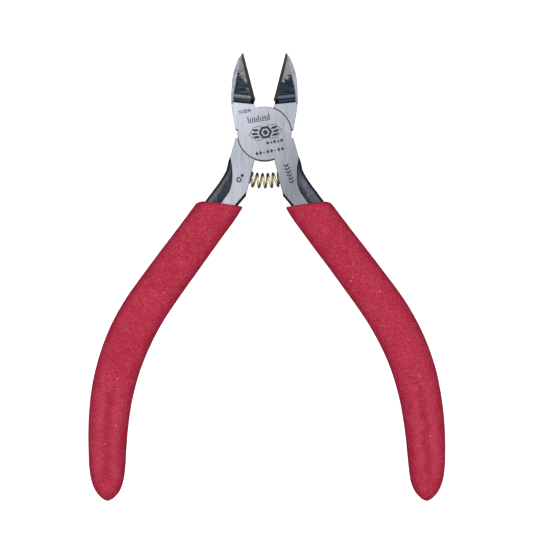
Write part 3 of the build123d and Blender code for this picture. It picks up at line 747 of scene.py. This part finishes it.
front = nodes["front_jaw_and_handle"]
rear = nodes["rear_jaw_and_handle"]
common = dict(side=side_steel("satin_edge"), bright=bright_steel("broken_edge"), dark=dark_steel("root_relief"))
front_mats = dict(common,
                  ground=ground_steel("ground_face_front", 5.0, painted_light_slope=(-0.0251, 0.0203), seed=1.0),
                  hollow=hollow_steel("hollow_ground_left", 1, 2.0, (0.185, 0.187, 0.196), (0.188, 0.194, 0.178),
                                      (0.013, 0.016, 0.025), 5.43, -1.17, 0.8),
                  bevel=bevel_steel("honed_bevel_left", 1.0),
                  spine=spine_steel("blade_spine_left", 1.0),
                  forged=forged_steel("forged_tang_right", 1, ((9.3, -11.5), (3.6, -5.4)), 1.0))
rear_mats = dict(common,
                 ground=ground_steel("ground_face_rear", -5.0, painted_light_slope=(-0.0095, 0.0), seed=11.0),
                 hollow=hollow_steel("hollow_ground_right", -1, 7.0, (0.060, 0.082, 0.104), (0.178, 0.185, 0.168),
                                     (0.008, 0.011, 0.018), 5.64, -0.68, 0.15),
                 bevel=bevel_steel("honed_bevel_right", 3.0),
                 spine=spine_steel("blade_spine_right", 3.0),
                 forged=forged_steel("forged_tang_left", -1, ((10.1, -10.8), (2.8, -4.8)), 4.0))
finish_half(front, 1, front_mats)
finish_half(rear, -1, rear_mats)

rivet = nodes["pivot_rivet"]
rivet.data.materials.clear()
rivet.data.materials.append(ground_steel("rivet_face", 5.0, painted_light_slope=(-0.0251, 0.0203), seed=1.0))
for peg in ("front_spring_peg", "rear_spring_peg"):
    nodes[peg].data.materials.clear()
    nodes[peg].data.materials.append(side_steel(peg + "_steel"))

make_spring(spring_brass("golden_spring_wire"))
make_grip("left_sleeve", LEFT_GRIP, LEFT_MOUTH, -1, "rear_half", "left_grip", grip_vinyl("crimson_vinyl_left", 2.0), 3.0)
make_grip("right_sleeve", RIGHT_GRIP, RIGHT_MOUTH, +1, "front_half", "right_grip", grip_vinyl("crimson_vinyl_right", 6.0), 8.0)


# ---------------------------------------------------------------------------
# Etched markings: generic figures and signs, a hair proud of the steel
# ---------------------------------------------------------------------------
class Marks:
    def __init__(self):
        self.bm = bmesh.new()

    def prism(self, points):
        """Thin closed plate from a convex outline (mm)."""
        low, high = HEAD - 0.012, HEAD + 0.016
        a = [self.bm.verts.new((x * MM, y * MM, low * MM)) for x, y in points]
        b = [self.bm.verts.new((x * MM, y * MM, high * MM)) for x, y in points]
        n = len(points)
        self.bm.faces.new(a[::-1])
        self.bm.faces.new(b)
        for k in range(n):
            self.bm.faces.new((a[k], a[(k + 1) % n], b[(k + 1) % n], b[k]))

    def ring(self, cx, cy, r0, r1, n=28, start=0.0):
        low, high = HEAD - 0.012, HEAD + 0.016
        loops = []
        for r, z in ((r0, low), (r1, low), (r1, high), (r0, high)):
            loops.append([self.bm.verts.new(((cx + r * math.cos(start + 2 * math.pi * k / n)) * MM,
                                             (cy + r * math.sin(start + 2 * math.pi * k / n)) * MM, z * MM)) for k in range(n)])
        for i in range(4):
            a, b = loops[i], loops[(i + 1) % 4]
            for k in range(n):
                self.bm.faces.new((a[k], a[(k + 1) % n], b[(k + 1) % n], b[k]))

    def stroke(self, pts, width):
        """Polyline of this width with mitred joints, as one closed strip."""
        pts = [Vector(p) for p in pts]
        left, right = [], []
        for i, p in enumerate(pts):
            a = (pts[i] - pts[i - 1]).normalized() if i else None
            b = (pts[i + 1] - pts[i]).normalized() if i < len(pts) - 1 else None
            d = (a + b).normalized() if a is not None and b is not None else (a if a is not None else b)
            n = Vector((-d.y, d.x))
            ref = b if a is None else a
            k = 1.0 / max(0.45, abs(n.dot(Vector((-ref.y, ref.x)))))
            left.append(p + n * width / 2 * k)
            right.append(p - n * width / 2 * k)
        low, high = HEAD - 0.012, HEAD + 0.016
        def vs(points, z):
            return [self.bm.verts.new((q.x * MM, q.y * MM, z * MM)) for q in points]
        l0, r0, l1, r1 = vs(left, low), vs(right, low), vs(left, high), vs(right, high)
        m = len(pts)
        for i in range(m - 1):
            self.bm.faces.new((l0[i], l0[i + 1], r0[i + 1], r0[i]))
            self.bm.faces.new((l1[i], r1[i], r1[i + 1], l1[i + 1]))
            self.bm.faces.new((l0[i], l1[i], l1[i + 1], l0[i + 1]))
            self.bm.faces.new((r0[i], r0[i + 1], r1[i + 1], r1[i]))
        self.bm.faces.new((l0[0], r0[0], r1[0], l1[0]))
        self.bm.faces.new((l0[-1], l1[-1], r1[-1], r0[-1]))

    def done(self, name, body, material):
        bmesh.ops.recalc_face_normals(self.bm, faces=self.bm.faces[:])
        me = bpy.data.meshes.new(name)
        self.bm.to_mesh(me)
        self.bm.free()
        me.materials.append(material)
        obj = bpy.data.objects.new(name, me)
        bpy.context.scene.collection.objects.link(obj)
        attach(obj, body)
        return obj


def placed(x, y, angle, scale=1.0):
    c, s = math.cos(math.radians(angle)), math.sin(math.radians(angle))
    return lambda px, py: (x + scale * (px * c - py * s), y + scale * (px * s + py * c))


ink = etched("etched_marking")

# wire-section sign on the left of the head: two bars and a ring
g = Marks()
to = placed(-6.20, 4.70, 10.0)
g.prism([to(0.0, 0.14), to(1.05, 0.14), to(1.05, 0.34), to(0.0, 0.34)])
g.prism([to(0.0, 0.60), to(1.05, 0.60), to(1.05, 0.80), to(0.0, 0.80)])
g.ring(*to(1.72, 0.47), 0.24, 0.46, n=24)
g.prism([to(2.42, 0.0), to(3.02, 0.47), to(2.42, 0.94)])
g.done("wire_section_sign", "front_half", ink)

# graduated row
g = Marks()
to = placed(-4.02, 2.80, 9.0)
for i in range(11):
    tall = 1.30 if i % 5 == 0 else (0.92 if i % 5 in (2, 3) else 0.66)
    x = 0.515 * i
    g.prism([to(x, 0.0), to(x + 0.25, 0.0), to(x + 0.25, tall), to(x, tall)])
g.stroke([to(-0.02, -0.20), to(5.42, -0.20)], 0.16)
g.done("graduation_marks", "front_half", ink)

# emblem: a nut in outline between stacked bars
g = Marks()
cx, cy, lean = 0.22, 0.30, 9.0
g.ring(cx, cy, 1.02, 1.68, n=6, start=math.radians(lean))
g.ring(cx, cy, 0.0001, 0.58, n=20)
to = placed(cx, cy, lean)
for side in (-1, 1):
    for k, (y, x0, x1) in enumerate(((0.86, 1.62, 2.95), (0.0, 1.98, 3.30), (-0.86, 1.62, 2.95))):
        a, b = sorted((side * x0, side * x1))
        slant = 0.24 * side
        g.prism([to(a - slant, y - 0.29), to(b - slant, y - 0.29), to(b + slant, y + 0.29), to(a + slant, y + 0.29)])
frame_pts = [(-4.05, 0.0), (-2.5, 1.62), (-0.9, 1.62)]
for q in (1, -1):
    g.stroke([to(q * x, q * y) for x, y in frame_pts], 0.13)
    g.stroke([to(q * x, -q * y) for x, y in frame_pts[1:]], 0.13)
    g.stroke([to(q * -4.05, 0.0), to(q * -2.5, q * -1.62)], 0.13)
g.done("hexagon_emblem", "front_half", ink)

# row of blocks and a row of lozenges
g = Marks()
to = placed(0.52, -2.60, 10.0)
for i in range(5):
    x = 0.86 * i
    if i % 2 == 0:
        g.prism([to(x, -0.02), to(x + 0.60, -0.02), to(x + 0.60, 0.62), to(x, 0.62)])
    else:
        g.prism([to(x + 0.02, -0.02), to(x + 0.62, -0.02), to(x + 0.32, 0.66)])
g.done("block_row", "front_half", ink)
g = Marks()
to = placed(-2.06, -5.42, 11.0)
for i in range(8):
    x = 0.90 * i + 0.34
    if i in (2, 5):
        g.prism([to(x - 0.30, 0.36), to(x + 0.30, 0.36), to(x + 0.30, 0.56), to(x - 0.30, 0.56)])
    else:
        g.prism([to(x - 0.37, 0.46), to(x, -0.08), to(x + 0.37, 0.46), to(x, 1.00)])
g.done("lozenge_row", "front_half", ink)

# chevrons down the right handle, and a ring and dot on the left one
g = Marks()
to = placed(5.22, -7.55, -71.0)
for i in range(6):
    x = 0.84 * i
    g.stroke([to(x, -0.62), to(x + 0.46, 0.0), to(x, 0.62)], 0.34)
g.done("handle_chevrons", "front_half", ink)
g = Marks()
to = placed(-6.22, -11.25, 52.0)
x, y = to(0.0, 0.0)
g.ring(x, y, 0.34, 0.66, n=24)
x, y = to(1.30, 0.0)
g.prism([(x + 0.40 * math.cos(k * math.pi / 7), y + 0.40 * math.sin(k * math.pi / 7)) for k in range(14)])
g.done("batch_sign", "rear_half", ink)


# ---------------------------------------------------------------------------
# Stage: pale floor and backdrop, soft light, camera straight above
# ---------------------------------------------------------------------------
def stage_material(name, colour, glow=0.0):
    m = Mat(name, metallic=0.0, roughness=0.9, colour=colour, specular=0.1)
    n = m.noise(m.position(), 40.0, 3.0, 0.5)
    m.colour(m.ramp(n, [(0.3, tuple(c * 0.985 for c in colour)), (0.7, colour)]))
    if glow:
        m.p.inputs["Emission Color"].default_value = (1, 1, 1, 1)
        m.p.inputs["Emission Strength"].default_value = glow
    return m.m


bm = bmesh.new()
bmesh.ops.create_circle(bm, cap_ends=True, segments=96, radius=3.0)
me = bpy.data.meshes.new("floor")
bm.to_mesh(me)
bm.free()
floor = bpy.data.objects.new("floor", me)
bpy.context.scene.collection.objects.link(floor)
floor.location = (0, -0.032, -0.00104)
me.materials.append(stage_material("pale_floor", (0.93, 0.93, 0.935), glow=0.80))
floor.visible_glossy = False
floor.visible_diffuse = False

bm = bmesh.new()
n = 96
low = [bm.verts.new((2.9 * math.cos(2 * math.pi * k / n), 2.9 * math.sin(2 * math.pi * k / n), -0.01)) for k in range(n)]
high = [bm.verts.new((2.9 * math.cos(2 * math.pi * k / n), 2.9 * math.sin(2 * math.pi * k / n), 3.0)) for k in range(n)]
for k in range(n):
    bm.faces.new((low[k], high[k], high[(k + 1) % n], low[(k + 1) % n]))
me = bpy.data.meshes.new("backdrop")
bm.to_mesh(me)
bm.free()
backdrop = bpy.data.objects.new("backdrop", me)
bpy.context.scene.collection.objects.link(backdrop)
me.materials.append(stage_material("pale_backdrop", (0.9, 0.9, 0.905), glow=0.75))
backdrop.visible_glossy = False
backdrop.visible_diffuse = False
backdrop.visible_shadow = False

world = bpy.data.worlds.new("studio")
bpy.context.scene.world = world
world.use_nodes = True
wt = world.node_tree
bg = next(n for n in wt.nodes if n.type == "BACKGROUND")
tc = wt.nodes.new("ShaderNodeTexCoord")
sep = wt.nodes.new("ShaderNodeSeparateXYZ")
wt.links.new(tc.outputs["Generated"], sep.inputs[0])
mr = wt.nodes.new("ShaderNodeMapRange")
wt.links.new(sep.outputs["Z"], mr.inputs["Value"])
mr.inputs["From Min"].default_value = -1.0
mr.inputs["From Max"].default_value = 1.0
wr = wt.nodes.new("ShaderNodeValToRGB")
wt.links.new(mr.outputs[0], wr.inputs[0])
stops = [(0.0, (0.05, 0.055, 0.065)), (0.48, (0.09, 0.095, 0.11)), (0.60, (0.30, 0.31, 0.335)),
         (0.80, (0.70, 0.71, 0.74)), (1.0, (1.06, 1.065, 1.08))]
el = wr.color_ramp.elements
while len(el) < len(stops):
    el.new(0.5)
for e, (at_, col) in zip(el, stops):
    e.position = at_
    e.color = (*col, 1)
wt.links.new(wr.outputs[0], bg.inputs["Color"])
bg.inputs["Strength"].default_value = 1.0


def area_light(name, place, size, power, colour=(1, 1, 1)):
    data = bpy.data.lights.new(name, "AREA")
    data.shape = "DISK"
    data.size = size
    data.energy = power
    data.color = colour
    obj = bpy.data.objects.new(name, data)
    bpy.context.scene.collection.objects.link(obj)
    obj.location = place
    aim = Vector((0.0, -0.035, 0.0)) - Vector(place)
    obj.rotation_euler = aim.to_track_quat("-Z", "Y").to_euler()
    obj.visible_camera = False
    return obj


area_light("key_left", (-0.75, 0.35, 0.85), 1.1, 4.0)
area_light("fill_right", (0.80, 0.25, 0.80), 1.1, 3.0)
area_light("fill_low", (0.05, -0.95, 0.80), 1.1, 2.5)

cam_data = bpy.data.cameras.new("camera")
cam_data.lens = 160.0
cam_data.sensor_width = 36.0
cam_data.clip_start = 0.01
cam_data.clip_end = 20.0
cam = bpy.data.objects.new("camera", cam_data)
bpy.context.scene.collection.objects.link(cam)
cam.location = (0.00049, -0.03239, 0.0032 + 0.130585 * cam_data.lens / 36.0)
cam.rotation_euler = (0, 0, 0)
bpy.context.scene.camera = cam
bpy.context.scene.view_settings.view_transform = "Standard"
bpy.context.scene.view_settings.look = "None"
